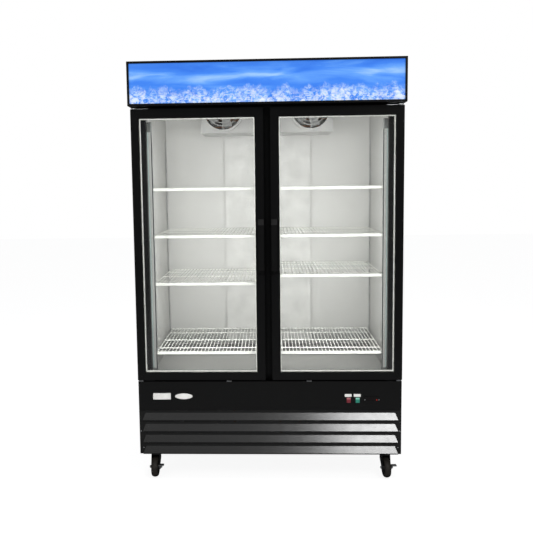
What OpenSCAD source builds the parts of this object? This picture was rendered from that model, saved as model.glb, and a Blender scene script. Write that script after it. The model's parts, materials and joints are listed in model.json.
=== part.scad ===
// Two-door glass merchandiser refrigerator on casters, with a lit header sign.
// Millimetres. +X is right, +Y is towards the back, +Z is up.
// The origin is on the floor, under the middle of the whole object.

/* [Cabinet] */
// Width of the cabinet and of the pair of doors
cabinet_w = 1304; // [1240:2:1400]
// Depth from the front face of the doors to the back
cabinet_d = 738; // [680:2:800]
// Height of the whole object, floor to the top of the header
total_h = 2063; // [1980:1:2140]
// Height of the underside of the base above the floor
base_z = 138; // [136:1:150]
// Height of the top of the base, under the doors
base_top_z = 509; // [480:1:540]
// Thickness of the side walls, steel to liner
wall_t = 60; // [50:1:70]
// Thickness of the back wall
back_t = 48; // [40:1:60]
// Thickness of the outer and inner sheet metal
sheet_t = 1; // [0.8:0.1:1.5]

/* [Header] */
// Width of the lit header
header_w = 1312; // [1306:1:1330]
// Height of the header
header_h = 206; // [180:1:230]
// How far the header stands in front of the doors
header_out = 40; // [34:1:60]
// Width of the black border round the header graphic
header_border = 10; // [8:1:16]

/* [Doors] */
// Height of the bottom edge of the doors
door_z0 = 518.5; // [514:0.5:530]
// Height of the top edge of the doors
door_z1 = 1846; // [1830:1:1848]
// Gap between the two doors
door_gap = 34; // [30:1:40]
// Thickness of a door
door_t = 45; // [42:1:48]
// Width of the hinge stile
hinge_stile = 40; // [36:1:48]
// Width of the meeting stile
meet_stile = 41; // [36:1:48]
// Height of the top rail
top_rail = 45; // [40:1:52]
// Height of the bottom rail
bottom_rail = 40; // [38:1:48]
// Thickness of one pane of glass
pane_t = 3.2; // [3:0.1:4]
// Gap between the two panes of a door
pane_gap = 12; // [9:1:14]

/* [Shelves] */
// Top of each shelf of the left bay, lowest first
left_levels = [635, 990, 1231, 1468];
// Top of each shelf of the right bay, lowest first
right_levels = [635, 1029, 1231, 1468];
// Depth of a shelf
shelf_d = 555; // [500:5:555]
// Spacing of the shelf wires
wire_pitch = 18.6; // [17:0.1:22]
// Thickness of a shelf wire
wire_t = 3.6; // [3:0.1:4.5]
// Height of the label strip along a shelf's front edge
ticket_h = 14; // [12:1:24]

/* [Base] */
// Height of the line between the control panel and the louvred grille
grille_z = 361; // [350:1:380]
// Number of louvres
louvre_n = 4; // [3:1:5]
// Height of one louvre and the gap below it
louvre_pitch = 57; // [52:1:60]
// How far a louvre stands out of the grille
louvre_out = 11; // [8:1:14]

/* [Casters] */
// Radius of a caster wheel
wheel_r = 50; // [45:1:52]
// Width of a caster wheel
wheel_w = 32; // [26:1:34]
// Distance from the swivel axis to the wheel's axle
caster_trail = 30; // [24:1:36]
// Distance of the swivel axes from the middle of the cabinet
caster_x = 585; // [560:1:590]
// Depth of the front swivel axes behind the door face
caster_front = 84; // [80:1:110]
// Depth of the rear swivel axes behind the door face
caster_rear = 650; // [560:1:655]
// Spacing of the caster plate holes along X
plate_hole_x = 75; // [70:1:80]
// Spacing of the caster plate holes along Y
plate_hole_y = 45; // [40:1:50]

/* [Hidden] */
$fn = 48;

// Main planes: half widths, and depths measured back from the door face.
half_w = cabinet_w / 2;
total_d = cabinet_d + header_out;
door_y = header_out - total_d / 2;
frame_y = 57;
frame_t = 23;
liner_y = frame_y + frame_t;
liner_back = cabinet_d - back_t;
inner_w = half_w - wall_t;
floor_z = 529;
pan_z = 475;
ceiling_z = 1990;
roof_z = total_h - 8;
header_z = total_h - header_h;
bulkhead_z = header_z - 4;
bulkhead_t = 60;
opening_w = inner_w - 2;
opening_top = door_z1 - 34;
sill_z = floor_z + 9;
mullion_back = 100;
duct_y = liner_back - 16;
grille_back = cabinet_d - 10;

// Gap at a seam between two sheets, slabs or rails.
seam = 0.1;

// Hinge axis of each door, and the pins on it.
pin_x = half_w - 13;
pin_y = door_t / 2;
pin_r = 5;
run_gap = 0.05;
plate_t = 3;
top_plate_z = bulkhead_z - plate_t;
low_plate_z = base_top_z + 1;

// Glass unit: the panes sit in the door rails' rebates.
rebate = 8;
unit_y = 12;
unit_t = 2 * pane_t + pane_gap;

// Base front and the things on it.
base_y = 8;
pan_front = 20;
panel_t = 1.5;
rocker_z = 413.5;
rocker_x = [392.5, 436.5];
control_x = 506;
control_z = 416;
control_w = 77;
control_h = 35;
button_x = [487, 500, 513];
button_z = control_z - 10;
rocker_r = 13;
rocker_w = 19;
rocker_y = base_y + 1;

// Shelves, and the slotted strips that carry their clips.
shelf_x = [8, 576];
shelf_y = 114;
shelf_t = 2 * wire_t + 0.5;
strip_t = 4;
strip_w = 20;
strip_x = inner_w - sheet_t - strip_t;
strip_z0 = 560;
strip_z1 = 1730;
side_strip_y = [196, 648];

// Evaporator unit, hung from the ceiling at the middle: its housing and fans.
unit_w = 345;
unit_front = 310;
unit_back = 560;
unit_z = 1752;
evap_fan_x = 229;
evap_fan_y = unit_front + 16;
evap_fan_z = unit_z + 112;
evap_fan_r = 88;
evap_ring_r = 108;
cond_x = 330;
cond_z = 314;
cond_fan_y = 205;
cond_fan_r = 95;
shaft_r = 4;

// Cord gland in the rear grille.
gland_x = 540;
gland_z = 200;
gland_r = 11;

// Casters.
caster_spots = [
    [-caster_x, caster_front, 0], [caster_x, caster_front, 4],
    [-caster_x, caster_rear, -20], [caster_x, caster_rear, 30]
];
caster_top = base_z + 3.5;
caster_plate_t = 3;
pan_top = caster_top + 2;
bolt_r = 4;
axle_r = 5;
leg_x = wheel_w / 2 + 2;
leg_t = 3;
crown_z = 109;
race_r = 23;

// A box from one corner to the other, with y measured back from the door face.
module block(low, high) {
    translate([low.x, door_y + low.y, low.z]) cube(high - low);
}

// The same box on both sides of the middle plane.
module block_pair(low, high) {
    block(low, high);
    mirror([1, 0, 0]) block(low, high);
}

// A profile in the YZ plane, drawn as [depth, height], from x0 to x1.
module profile_x(x0, x1) {
    translate([x0, door_y, 0]) rotate([90, 0, 90]) linear_extrude(x1 - x0) children();
}

// A profile in the XZ plane, drawn as [x, z], from depth y0 to y1.
module profile_y(y0, y1) {
    translate([0, door_y + y1, 0]) rotate([90, 0, 0]) linear_extrude(y1 - y0) children();
}

// A cylinder along X, Y or Z that starts at a point and runs along +axis.
module rod_x(p, r, l) { translate([p.x, door_y + p.y, p.z]) rotate([0, 90, 0]) cylinder(l, r, r); }
module rod_y(p, r, l) { translate([p.x, door_y + p.y, p.z]) rotate([-90, 0, 0]) cylinder(l, r, r); }
module rod_z(p, r, l) { translate([p.x, door_y + p.y, p.z]) cylinder(l, r, r); }

// A rectangle from corner to corner, with rounded corners of radius r.
module rounded(low, high, r) {
    difference() {
        translate(low) square(high - low);
        for (i = [0, 1], j = [0, 1]) {
            corner = [i ? high.x : low.x, j ? high.y : low.y];
            centre = corner + [i ? -r : r, j ? -r : r];
            difference() {
                translate([min(corner.x, centre.x), min(corner.y, centre.y)]) square(r);
                translate(centre) circle(r);
            }
        }
    }
}

// ---------------------------------------------------------------- cabinet

module outer_shell() {
    w = half_w - sheet_t - seam;
    low = roof_z - sheet_t;
    color("#1a1a1b") {
        block_pair([half_w - sheet_t, frame_y, base_z], [half_w, cabinet_d, roof_z]);
        block([-w, frame_y, low], [w, cabinet_d, roof_z]);
        block([-w, cabinet_d - sheet_t, pan_z], [w, cabinet_d, low - seam]);
        block([-w, frame_y, bulkhead_z], [w, frame_y + sheet_t, low - seam]);
    }
}

// Floor of the machine compartment, with a channel along each edge. Its front
// part reaches in between the side flanges of the louvred grille.
module base_pan() {
    w = half_w - sheet_t;
    front_w = half_w - panel_t - seam;
    low = pan_top + seam;
    high = caster_top + 30;
    color("#8e9194") {
        difference() {
            union() {
                block([-w, frame_y, caster_top], [w, grille_back, pan_top]);
                block([-front_w, pan_front, caster_top], [front_w, frame_y + 1, pan_top]);
            }
            for (spot = caster_spots) caster_holes(spot, caster_top - 1, bolt_r + 0.5);
        }
        for (y = [pan_front + 2, frame_y + 62, grille_back - 40]) {
            block([4 - w, y, low], [w - 4, y + 2, high]);
        }
        block_pair([w - 2, frame_y, low], [w, grille_back, high]);
    }
}

module inner_liner() {
    t = sheet_t;
    w = inner_w - t;
    front = frame_y + bulkhead_t;
    color("#dfe1de") {
        block_pair([w, liner_y, floor_z], [w + t, liner_back, ceiling_z]);
        block([seam - w, liner_y, floor_z], [w - seam, liner_back, floor_z + t]);
        block([-w - t, liner_back + seam, floor_z], [w + t, liner_back + seam + t, ceiling_z]);
        block([seam - w, front, ceiling_z - t], [w - seam, liner_back, ceiling_z]);
        block([seam - w, front, opening_top + 3], [w - seam, front + t, ceiling_z - t - seam]);
        block([seam - w, liner_y + seam, opening_top + 3 - t - seam],
              [w - seam, front + t, opening_top + 3 - seam]);
    }
}

// Foam slabs: two in each side wall, then the back, the top, the floor and the
// two that close the front above the doors.
module foam_insulation() {
    w = half_w - sheet_t - seam;
    inner = inner_w + seam;
    x = inner_w;
    back = cabinet_d - sheet_t - seam;
    mid = liner_back + sheet_t + 2 * seam;
    top = roof_z - sheet_t - seam;
    front = frame_y + sheet_t + seam;
    color("#e8d9a8") {
        block_pair([inner, liner_y + seam, pan_z], [w, back, bulkhead_z - seam]);
        block_pair([inner, front, bulkhead_z], [w, back, top]);
        block([-x, mid, pan_z], [x, back, top]);
        block([-x, front, ceiling_z + seam], [x, mid - seam, top]);
        block([-x, liner_y + seam, pan_z], [x, mid - seam, floor_z - seam]);
        block([-x, front, bulkhead_z + seam], [x, liner_y, ceiling_z]);
        block([sheet_t + seam - x, liner_y + seam, opening_top + 3],
              [x - sheet_t - seam, frame_y + bulkhead_t - seam, ceiling_z]);
    }
}

// Thermal-break frame round the front opening, pocketed for the hinge plates.
module front_frame() {
    w = half_w - sheet_t;
    back = liner_y;
    color("#232425") difference() {
        union() {
            block_pair([opening_w, frame_y, sill_z + seam], [w, back, opening_top - seam]);
            block([-w, frame_y, opening_top], [w, back, bulkhead_z - seam]);
            block([-w, frame_y, pan_z], [w, back, sill_z]);
        }
        for (s = [-1, 1], z = [top_plate_z, low_plate_z]) hinge_plate(s, z);
    }
}

module center_mullion() {
    w = door_gap / 2 + 25;
    low = sill_z + seam;
    color("#1d1e1f") {
        block([-w, frame_y, low], [w, liner_y, opening_top - seam]);
        block([-w, liner_y - 1, low], [w, mullion_back, opening_top - seam]);
        block([-9, frame_y - 9, low], [9, frame_y, opening_top - seam]);
    }
}

// ---------------------------------------------------------------- header

module header_housing() {
    w = header_w / 2;
    t = 1.2;
    front = -header_out;
    lip = front + 10;
    color("#111112") {
        for (z = [header_z, total_h - t]) block([-w, lip, z], [w, frame_y, z + t]);
        block_pair([w - t, lip, header_z + t + seam], [w, frame_y, total_h - t - seam]);
        block([t + seam - w, frame_y - t, header_z + t + seam],
              [w - t - seam, frame_y, total_h - t - seam]);
        profile_y(front, lip - seam) difference() {
            translate([-w, header_z]) square([2 * w, header_h]);
            rounded([header_border - w, header_z + header_border],
                    [w - header_border, total_h - header_border], 3);
        }
    }
}

module header_graphic() {
    w = header_w / 2 - 2;
    back = 10 - header_out;
    color("#4287f0") block([-w, back, header_z + 2], [w, back + 3, total_h - 2]);
}

// Two lamp tubes on a white tray behind the graphic.
module header_light() {
    w = header_w / 2 - 40;
    y = frame_y - 1.2;
    color("#f4f6f8") {
        block([-w, y - 14, header_z + 50], [w, y, total_h - 50]);
        for (z = [header_z + 75, total_h - 75]) {
            rod_x([20 - w, y - 26, z], 8, 2 * w - 40);
            for (x = [8 - w, w - 28]) block([x, y - 34, z - 9], [x + 20, y - 14, z + 9]);
        }
    }
}

// ---------------------------------------------------------------- hinges

// A hinge plate: a wide tail set in the front frame, and an arm under the pin.
module hinge_plate(side, z) {
    tail = side * (pin_x - 26);
    block([tail - 38, 38, z], [tail + 38, 80, z + plate_t]);
    block([side * pin_x - 12, 9, z], [side * pin_x + 12, 39, z + plate_t]);
}

// Top and bottom hinge plates with their pins and washers, and the two glide
// plates that lift the closing doors.
module hinge_brackets() {
    stub = 20;
    color("#c4c6c8") {
        for (s = [-1, 1]) {
            union() {
                hinge_plate(s, top_plate_z);
                rod_z([s * pin_x, pin_y, door_z1 - stub + 1], pin_r, top_plate_z - door_z1 + stub);
                rod_z([s * pin_x, pin_y, door_z1 + 0.2], pin_r + 4, top_plate_z - door_z1);
            }
            union() {
                hinge_plate(s, low_plate_z);
                rod_z([s * pin_x, pin_y, low_plate_z + 1], pin_r, door_z0 - low_plate_z - 1 + stub);
                rod_z([s * pin_x, pin_y, low_plate_z + 1], pin_r + 4, door_z0 - low_plate_z - 1.2);
            }
            translate([s * 198, door_y + 22, base_top_z + 1.5]) cube([24, 30, 3], center = true);
        }
    }
}

// ---------------------------------------------------------------- interior

// A lamp bar up each side, just inside the opening, with a cap at each end.
module led_lights() {
    low = sill_z + 8;
    high = opening_top - 20;
    color("#eef3ee") for (s = [-1, 1]) translate([s * (opening_w - 12.2), door_y + liner_y + 10, 0])
        rotate([0, 0, s * 15]) {
            translate([-11, -5, low + 12]) cube([22, 10, high - low - 60]);
            translate([-12, -6, low]) cube([24, 12, 12 - seam]);
            translate([-12, -6, high - 48 + seam]) cube([24, 12, 48]);
        }
}

// Slotted wall strips at the corners of each bay, and the clips that hold the shelves.
module shelf_supports() {
    color("#c9cbcc") {
        for (y = side_strip_y) {
            block_pair([strip_x, y, strip_z0], [strip_x + strip_t, y + strip_w, strip_z1]);
        }
        for (y = [mullion_back, duct_y - strip_t]) {
            block_pair([8, y, strip_z0], [8 + strip_w, y + strip_t, strip_z1]);
        }
        for (z = left_levels) bay_clips(z, -1);
        for (z = right_levels) bay_clips(z, 1);
    }
}

// The four clips under one shelf. The one behind the mullion dips under the label strip.
module bay_clips(top, side) {
    t = 3.5;
    high = top - shelf_t;
    low = top - ticket_h - 5;
    mirror([side < 0 ? 1 : 0, 0, 0]) {
        for (y = side_strip_y) {
            block([shelf_x[1] - 10, y + 2, high - t], [strip_x, y + strip_w - 2, high]);
        }
        block([10, shelf_y + shelf_d - 12, high - t], [24, duct_y - strip_t, high]);
        block([10, mullion_back + strip_t, low], [24, shelf_y + 16, low + t]);
        block([10, shelf_y + 5, low], [24, shelf_y + 16, high]);
    }
}

// One coated wire shelf of the right bay: wires on cross bars, with a label strip.
module shelf(top) {
    x0 = shelf_x[0];
    x1 = shelf_x[1];
    y1 = shelf_y + shelf_d;
    n = floor((x1 - x0 - 8) / wire_pitch);
    first = (x0 + x1 - n * wire_pitch) / 2;
    low = top - shelf_t;
    union() {
        for (i = [0 : n]) {
            x = first + i * wire_pitch;
            block([x - wire_t / 2, shelf_y + 1, top - wire_t], [x + wire_t / 2, y1, top]);
        }
        for (y = [shelf_y + 6, shelf_y + 94, shelf_y + 266, shelf_y + 440, y1 - 8]) {
            block([x0, y, low], [x1, y + 5, top - wire_t + 0.5]);
        }
        for (x = [x0, x1 - 5]) block([x, shelf_y + 2, low], [x + 5, y1 - 3, top - wire_t + 0.5]);
        block([x0, shelf_y, top - ticket_h], [x1, shelf_y + 2.5, top]);
    }
}

module shelves_left() {
    color("#ecebe0") mirror([1, 0, 0]) for (z = left_levels) shelf(z);
}

module shelves_right() {
    color("#ecebe0") for (z = right_levels) shelf(z);
}

// Sheet housing of the evaporator unit: front with two fan rings and their wire
// guards, two ends, and the drip tray along the bottom.
module evaporator_cover() {
    t = 1.5;
    y0 = unit_front;
    top = ceiling_z - sheet_t - seam;
    color("#d9dbd8") {
        difference() {
            block([-unit_w, y0, unit_z], [unit_w, y0 + t, top]);
            for (s = [-1, 1]) rod_y([s * evap_fan_x, y0 - 1, evap_fan_z], evap_fan_r + 8, 4);
        }
        block_pair([unit_w - t, y0 + t + seam, unit_z], [unit_w, unit_back, top]);
        block([t + seam - unit_w, y0 + t + seam, unit_z], [unit_w - t - seam, unit_back, unit_z + t]);
        for (s = [-1, 1]) difference() {
            rod_y([s * evap_fan_x, y0 - 18, evap_fan_z], evap_ring_r, 18 - seam);
            fan_openings(s * evap_fan_x, evap_fan_r + 8);
        }
    }
}

// What is cut out in front of a fan, leaving the guard's rings and spokes.
module fan_openings(x, hole) {
    rings = 4;
    gap = (hole - 28) / rings;
    rod_y([x, unit_front - 14, evap_fan_z], hole, 20);
    for (i = [0 : rings - 1]) {
        translate([x, door_y + unit_front - 10, evap_fan_z]) rotate([90, 0, 0]) difference() {
            linear_extrude(12) difference() {
                circle(28 + (i + 1) * gap - (i == rings - 1 ? 0 : 3));
                circle(28 + i * gap);
            }
            translate([-2, -hole - 1, -1]) cube([4, 2 * hole + 2, 14]);
            translate([-hole - 1, -2, -1]) cube([2 * hole + 2, 4, 14]);
        }
    }
}

module evaporator_coil() {
    x1 = 330;
    y0 = 440;
    y1 = 540;
    z0 = unit_z + 26;
    z1 = ceiling_z - 26;
    fins = 24;
    pitch = (2 * x1 - 20) / fins;
    color("#b9bcbe") union() {
        for (i = [0 : fins]) {
            x = 10 - x1 + i * pitch;
            block([x - 1, y0, z0], [x + 1, y1, z1]);
        }
        for (x = [-x1, x1 - 2]) block([x, y0 - 4, z0 - 24], [x + 2, y1 + 4, z1 + 24]);
        for (y = [y0 + 25, y1 - 25], z = [z0 + 17 : 38 : z1 - 10]) {
            rod_x([-x1 - 8, y, z], 4.8, 2 * x1 + 16);
        }
    }
}

// A fan's motor behind its wheel, with its shaft and a bracket that stands off
// the sheet at depth foot_y.
module fan_motor(x, wheel_y, z, r, reach, foot_y) {
    union() {
        rod_y([x, wheel_y + 57, z], r, 50);
        rod_y([x, wheel_y - 8, z], shaft_r, 66);
        block([x - reach, wheel_y + 80, z - 12], [x + reach, wheel_y + 84, z + 12]);
        for (side = [x - reach, x + reach - 4]) {
            block([side, foot_y, z - 12], [side + 4, wheel_y + 84, z + 12]);
        }
    }
}

// Evaporator and condenser fan motors on their cross brackets.
module fan_motors() {
    color("#3b3d40") {
        for (s = [-1, 1]) {
            fan_motor(s * evap_fan_x, evap_fan_y, evap_fan_z, 30, evap_ring_r, unit_front + 1.5 + seam);
        }
        fan_motor(cond_x, cond_fan_y, cond_z, 40, 150, cond_fan_y + 21 + seam);
    }
}

module air_duct_panel() {
    t = 1.2;
    w = 247;
    y0 = duct_y;
    top = ceiling_z - sheet_t - seam;
    color("#e3e5e2") {
        block([-w, y0, 560], [w, y0 + t, top]);
        block_pair([w - t, y0 + t + seam, 560], [w, liner_back, top]);
    }
}

// ---------------------------------------------------------------- base front

module control_panel() {
    t = panel_t;
    y1 = base_y + t + seam;
    color("#181816") {
        difference() {
            block([-half_w, base_y, grille_z + 1], [half_w, base_y + t, base_top_z]);
            for (x = rocker_x) {
                block([x - 11, 0, rocker_z - 14], [x + 11, 20, rocker_z + 14]);
            }
            block([control_x - 31, 0, control_z - 14.5], [control_x + 31, 20, control_z + 14.5]);
        }
        block_pair([half_w - t, y1, grille_z + 1], [half_w, frame_y, base_top_z]);
        block([t + seam - half_w, y1, base_top_z - t], [half_w - t - seam, frame_y, base_top_z]);
    }
}

// Louvred sheet: each louvre is a pressed hood, open underneath, with tapered ends.
module front_grille() {
    t = panel_t;
    top = grille_z - 12;
    color("#151515") {
        difference() {
            union() {
                block([-half_w, base_y, base_z], [half_w, base_y + t, grille_z]);
                for (i = [0 : louvre_n - 1]) hood(top - i * louvre_pitch, 0);
            }
            for (i = [0 : louvre_n - 1]) hood(top - i * louvre_pitch, t);
        }
        block_pair([half_w - t, base_y + t + seam, base_z], [half_w, frame_y, grille_z]);
    }
}

// A louvre's outer shape, or with an inset the space inside it.
module hood(top, inset) {
    face_h = 33;
    lip_h = 5;
    low = top - face_h - lip_h;
    cut = inset > 0 ? max(low - 6, base_z + 2) : low;
    front = base_y - louvre_out + inset;
    back = base_y + (inset > 0 ? 4 : 0.5);
    intersection() {
        profile_x(-half_w, half_w) polygon([
            [back, cut], [front, cut], [front, top - face_h - inset],
            [base_y, top - inset * 2], [back, top - inset * 2]
        ]);
        profile_y(-30, 40) polygon([
            [inset - 636, low - 10], [636 - inset, low - 10], [634 - inset, top - face_h],
            [620 - inset, top + 1], [inset - 620, top + 1], [inset - 634, top - face_h]
        ]);
    }
}

// Screws in the front grille, and the bolts that hold the caster plates to the base.
module screws_and_bolts() {
    length = pan_top - caster_top + caster_plate_t + 4;
    color("#b8babb") {
        for (p = [[-634, 170], [636, 172], [-645, 255], [645, 255]]) {
            rod_y([p.x, base_y - 1.8, p.y], 3.5, 1.8);
        }
        for (spot = caster_spots) {
            caster_holes(spot, caster_top - caster_plate_t - 3.5, bolt_r, length);
            caster_holes(spot, caster_top - caster_plate_t - 4.5, bolt_r + 2.5, 4.5);
            caster_holes(spot, pan_top, bolt_r + 2.5, 5);
        }
    }
}

module rear_grille() {
    w = half_w - sheet_t - seam;
    color("#202122") difference() {
        block([-w, grille_back, caster_top], [w, grille_back + 1.2, pan_z - seam]);
        for (x = [-560 : 160 : 400], z = [210 : 26 : 420]) {
            block([x, grille_back - 5, z], [x + 130, grille_back + 5, z + 10]);
        }
        rod_y([gland_x, grille_back - 5, gland_z], gland_r, 10);
    }
}

// ---------------------------------------------------------------- machinery

module compressor() {
    color("#161617") translate([-380, door_y + 420, pan_top]) {
        difference() {
            rotate_extrude($fn = 64) polygon([
                [0, 16], [70, 16], [84, 30], [84, 104], [88, 106], [88, 112], [84, 114],
                [84, 150], [74, 176], [50, 192], [0, 196]
            ]);
            translate([0, 0, 28]) cylinder(130, 74, 74);
        }
        translate([-105, -70, 8]) cube([210, 140, 4]);
        for (x = [-90, 90], y = [-55, 55]) translate([x, y, 0]) cylinder(8, 14, 14);
        translate([-20, 80, 70]) cube([60, 44, 62]);
        for (x = [-12, 12]) translate([x, -40, 10]) cylinder(8, 6, 6);
    }
}

module condenser_coil() {
    x0 = cond_x - 170;
    x1 = cond_x + 170;
    z0 = cond_z - 140;
    z1 = cond_z + 140;
    fins = 16;
    pitch = (x1 - x0 - 20) / fins;
    color("#9a9c9e") union() {
        for (i = [0 : fins]) {
            x = x0 + 10 + i * pitch;
            block([x - 1, 90, z0 + 2], [x + 1, 156, z1 - 2]);
        }
        for (x = [x0, x1 - 2]) block([x, 86, z0], [x + 2, 160, z1]);
        for (y = [106, 140], z = [z0 + 28 : 45 : z1 - 20]) rod_x([x0 - 8, y, z], 4.8, x1 - x0 + 16);
    }
}

module condenser_shroud() {
    color("#2a2b2d") difference() {
        union() {
            block([cond_x - 170, 160, cond_z - 140], [cond_x + 170, 162, cond_z + 140]);
            rod_y([cond_x, 161, cond_z], cond_fan_r + 10, 65);
            block([cond_x - 150, 222, pan_top], [cond_x + 150, 226, cond_z + 126]);
        }
        rod_y([cond_x, 150, cond_z], cond_fan_r + 7, 100);
    }
}

// A tube through a list of points, with a brazed fitting in each bend.
module tube_run(points, r) {
    for (i = [0 : len(points) - 2]) {
        a = points[i];
        v = points[i + 1] - a;
        flat = norm([v.x, v.y]);
        translate([a.x, door_y + a.y, a.z]) {
            if (i > 0) sphere(r * 1.3);
            rotate([0, atan2(flat, v.z), atan2(v.y, v.x)]) cylinder(norm(v), r, r);
        }
    }
}

module refrigerant_pipes() {
    end = cond_x - 178.1;
    low = cond_z - 112;
    high = cond_z + 113;
    hot = [[-295.5, 420, 230], [-180, 420, 230], [-180, 106, 230], [-180, 106, high], [end, 106, high]];
    liquid = [[end, 106, low], [60, 106, low], [60, 700, low], [60, 700, pan_z - 1]];
    suction = [[-301, 450, 300], [-120, 450, 300], [-120, 712, 300], [-120, 712, pan_z - 1]];
    color("#b87347") {
        tube_run(hot, 4);
        tube_run(liquid, 4);
        rod_y([60, 300, low], 14, 110);
        tube_run(suction, 6);
    }
}

module drain_pan() {
    z = pan_top;
    color("#7d8083") difference() {
        block([130, 420, z], [530, 680, z + 40]);
        block([132, 422, z + 2], [528, 678, z + 60]);
    }
}

// ---------------------------------------------------------------- controls

module switch_housings() {
    color("#0f0f10") for (x = rocker_x) difference() {
        union() {
            block([x - 12.5, base_y - 1.6, rocker_z - 15.5], [x + 12.5, base_y, rocker_z + 15.5]);
            block([x - 11, base_y, rocker_z - 14], [x + 11, base_y + 24, rocker_z + 14]);
        }
        rod_x([x - rocker_w / 2 - 0.3, rocker_y, rocker_z], rocker_r + 0.35, rocker_w + 0.6);
    }
}

// A translucent rocker, pressed at its upper edge at rest. It turns about its
// own mid-height line.
module rocker(x, tint) {
    color(tint) translate([0, 0, rocker_z]) profile_x(x - rocker_w / 2, x + rocker_w / 2)
        translate([rocker_y, 0]) rotate(-9) intersection() {
            circle(rocker_r, $fn = 96);
            polygon([[-5, -14], [-3, 0], [-5, 14], [14, 14], [14, -14]]);
        }
}

module power_rocker() { rocker(rocker_x[0], "#a33a3f"); }
module light_rocker() { rocker(rocker_x[1], "#35b58c"); }

module temperature_controller() {
    front = base_y - 3;
    color("#141414") difference() {
        union() {
            profile_y(front, base_y) rounded([control_x - control_w / 2, control_z - control_h / 2],
                [control_x + control_w / 2, control_z + control_h / 2], 3);
            block([control_x - 31, base_y, control_z - 14.5],
                  [control_x + 31, base_y + 55, control_z + 14.5]);
        }
        block([control_x - 22, front - 1, control_z - 3], [control_x + 16, front + 1, control_z + 13]);
        for (x = button_x) {
            block([x - 4.2, front - 1, button_z - 2.7], [x + 4.2, front + 2, button_z + 2.7]);
        }
    }
    color("#c8cacc") for (s = [-1, 1]) rod_y([control_x + s * 34.5, front - 1, control_z], 3, 1);
    color("#e02525") rod_y([control_x + 24, front - 0.8, control_z], 2, 0.8);
}

module controller_button(i) {
    x = button_x[i];
    front = base_y - 3;
    color("#2b2c2e") block([x - 4, front - 0.8, button_z - 2.5], [x + 4, front + 0.9, button_z + 2.5]);
}

module set_button() { controller_button(0); }
module down_button() { controller_button(1); }
module up_button() { controller_button(2); }

// Blank plates in place of badges and labels: a bar, an oval and two switch tags.
module badge_plates() {
    y0 = base_y - 1.2;
    color("#d8d8d4") {
        profile_y(y0, base_y) rounded([-580, 417.5], [-490, 451], 2);
        profile_y(y0, base_y) translate([-425.5, 434.5]) {
            intersection() {
                translate([0, -82.65]) circle(98.15, $fn = 128);
                translate([0, 82.65]) circle(98.15, $fn = 128);
                translate([-38, -20]) square([76, 40]);
            }
            for (x = [-36, 36]) translate([x, 0]) circle(8.1);
        }
        for (x = [390, 434.5]) {
            profile_y(base_y - 0.5, base_y) rounded([x - 17, 430.5], [x + 17, 445], 1);
        }
    }
}

// Gland for the supply cord, with its collar outside and its nut inside.
module cord_gland() {
    color("#101010") difference() {
        union() {
            rod_y([gland_x, grille_back - 14, gland_z], gland_r - 0.5, cabinet_d - grille_back + 13);
            rod_y([gland_x, grille_back + 1.2, gland_z], gland_r + 4, 5);
            rod_y([gland_x, grille_back - 7, gland_z], gland_r + 4, 7);
        }
        rod_y([gland_x, grille_back - 20, gland_z], 5, 40);
    }
}

// ---------------------------------------------------------------- doors

// The four outlines of a mitred frame, from its outer and inner edges. The
// horizontal pieces are a seam short at each end.
function mitred(x0, x1, z0, z1, in_x0, in_x1, in_z0, in_z1) = let (g = 1.5 * seam) [
    [[x0 + g, z0], [x1 - g, z0], [in_x1 - g, in_z0], [in_x0 + g, in_z0]],
    [[x1, z0], [x1, z1], [in_x1, in_z1], [in_x1, in_z0]],
    [[x1 - g, z1], [x0 + g, z1], [in_x0 + g, in_z1], [in_x1 - g, in_z1]],
    [[x0, z1], [x0, z0], [in_x0, in_z0], [in_x0, in_z1]]
];

// Door rails of the right door, mitred at the corners and rebated for the glass.
module door_frame() {
    x0 = door_gap / 2;
    x1 = half_w;
    in0 = x0 + meet_stile;
    in1 = x1 - hinge_stile;
    z0 = door_z0 + bottom_rail;
    z1 = door_z1 - top_rail;
    for (outline = mitred(x0, x1, door_z0, door_z1, in0, in1, z0, z1)) difference() {
        profile_y(0, door_t) polygon(outline);
        block([in0 - rebate, unit_y, z0 - rebate], [in1 + rebate, unit_y + unit_t, z1 + rebate]);
        rod_z([pin_x, pin_y, door_z1 - 21], pin_r + run_gap, 30);
        rod_z([pin_x, pin_y, door_z0 - 9], pin_r + run_gap, 30);
    }
}

// A box that fills the glass rebate of the right door, less a margin, between two depths.
module glass_box(y0, y1, margin) {
    block([door_gap / 2 + meet_stile - rebate + margin, y0, door_z0 + bottom_rail - rebate + margin],
          [half_w - hinge_stile + rebate - margin, y1, door_z1 - top_rail + rebate - margin]);
}

module door_glass() {
    glass_box(unit_y, unit_y + pane_t, 0.2);
    glass_box(unit_y + pane_t + pane_gap, unit_y + unit_t, 0.2);
}

module glass_spacer() {
    difference() {
        glass_box(unit_y + pane_t, unit_y + pane_t + pane_gap, 1);
        glass_box(unit_y, unit_y + unit_t, rebate + 4);
    }
}

module door_gasket() {
    x0 = door_gap / 2 + 4;
    x1 = pin_x - 1;
    z0 = door_z0 + 1;
    z1 = door_z1 - 6;
    w = 18;
    for (outline = mitred(x0, x1, z0, z1, x0 + w, x1 - w, z0 + w, z1 - w)) {
        profile_y(door_t, frame_y - 0.3) polygon(outline);
    }
}

// Upright pull on the meeting stile, with a finger slot open towards the glass.
module door_handle() {
    z0 = 1040;
    z1 = 1313;
    ramp = 26;
    difference() {
        profile_x(door_gap / 2 + 1, door_gap / 2 + 29) polygon([
            [0, z0], [-30, z0 + ramp], [-30, z1 - ramp], [0, z1]
        ]);
        block([door_gap / 2 + 9, -23, z0 + ramp + 4], [door_gap / 2 + 30, -5, z1 - ramp - 4]);
    }
}

module left() { mirror([1, 0, 0]) children(); }

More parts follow.
